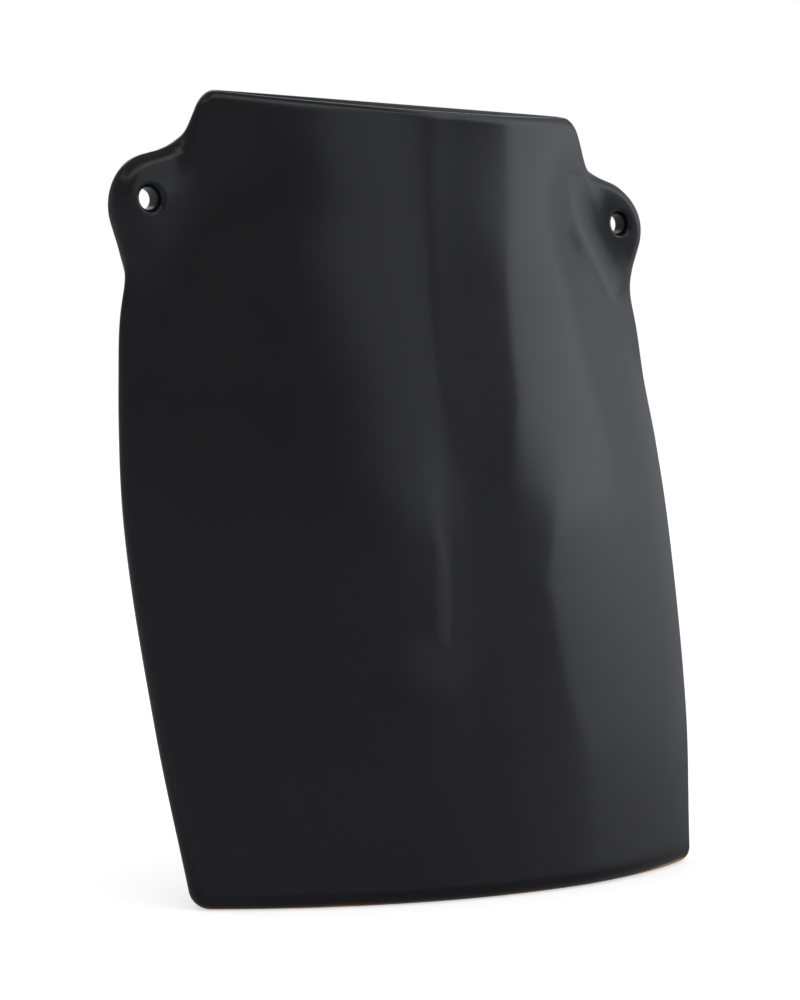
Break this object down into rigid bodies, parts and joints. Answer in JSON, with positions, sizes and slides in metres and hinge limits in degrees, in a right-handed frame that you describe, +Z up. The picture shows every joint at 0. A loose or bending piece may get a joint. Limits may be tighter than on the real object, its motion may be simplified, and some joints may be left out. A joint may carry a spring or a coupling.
{
  "type": "hanging wall vase",
  "caption": "Flat pouch-shaped stoneware wall pocket in satin black glaze, with a narrow wide mouth, a bellied front, a flat back and ear lugs with hanging holes.",
  "frame": {"origin": "on the wall plane, midway between the two hanging holes and level with them", "axes": "+X to the right seen from the front, +Y into the wall, +Z up; the front faces -Y"},
  "size_m": [0.2518, 0.0863, 0.3],
  "materials": {
    "black_glaze": "satin black glaze on stoneware"
  },
  "bodies": {
    "root": {"floor_slab": "black_glaze", "back_wall": "black_glaze", "front_wall": "black_glaze", "left_lug": "black_glaze", "right_lug": "black_glaze"}
  },
  "joints": []
}
